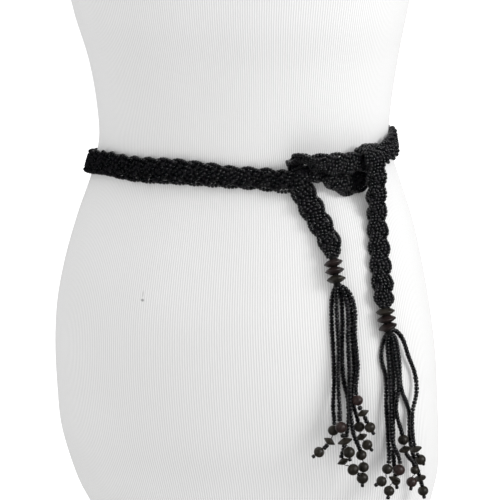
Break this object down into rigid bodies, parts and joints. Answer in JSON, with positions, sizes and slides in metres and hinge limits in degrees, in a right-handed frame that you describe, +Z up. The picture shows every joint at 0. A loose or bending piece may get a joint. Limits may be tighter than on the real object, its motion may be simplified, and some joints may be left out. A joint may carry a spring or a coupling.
{
  "type": "beaded belt on dress form",
  "caption": "Flat braided belt of black seed beads with wood-bead tassels, tied in a half knot round the waist of a limbless dress form in white jersey.",
  "frame": {"origin": "middle of the dress form's flat base", "axes": "+Z up, the dress form's front faces -Y and its left side faces +X"},
  "size_m": [0.3634, 0.2609, 0.835],
  "materials": {
    "jersey": "matte ribbed knit",
    "seed_glass": "gloss black",
    "brown_wood": "waxed reddish brown",
    "dark_wood": "waxed dark brown"
  },
  "bodies": {
    "root": {"bead_left_1_1": "dark_wood", "bead_left_1_2": "dark_wood", "bead_left_1_3": "dark_wood", "bead_left_2_1": "dark_wood", "bead_left_2_2": "dark_wood", "bead_left_2_3": "dark_wood", "bead_left_3_1": "dark_wood", "bead_left_3_2": "dark_wood", "bead_left_4_1": "dark_wood", "bead_left_4_2": "dark_wood", "bead_left_4_3": "dark_wood", "bead_left_5_1": "dark_wood", "bead_left_5_2": "dark_wood", "bead_left_5_3": "dark_wood", "bead_left_6_1": "dark_wood", "bead_left_6_2": "dark_wood", "bead_left_6_3": "dark_wood", "bead_right_1_1": "dark_wood", "bead_right_1_2": "dark_wood", "bead_right_2_1": "dark_wood", "bead_right_2_2": "dark_wood", "bead_right_2_3": "dark_wood", "bead_right_3_1": "dark_wood", "bead_right_4_1": "dark_wood", "bead_right_4_2": "dark_wood", "bead_right_4_3": "dark_wood", "bead_right_4_4": "dark_wood", "bead_right_5_1": "dark_wood", "bead_right_5_2": "dark_wood", "bead_right_6_1": "dark_wood", "bead_right_6_2": "dark_wood", "belt_waist": "seed_glass", "collar_left_1": "brown_wood", "collar_left_2": "brown_wood", "collar_left_3": "brown_wood", "collar_right_1": "brown_wood", "collar_right_2": "brown_wood", "collar_right_3": "brown_wood", "dress_form": "jersey", "tassel_left": "seed_glass", "tassel_right": "seed_glass", "tie_left": "seed_glass", "tie_right": "seed_glass"}
  },
  "joints": []
}
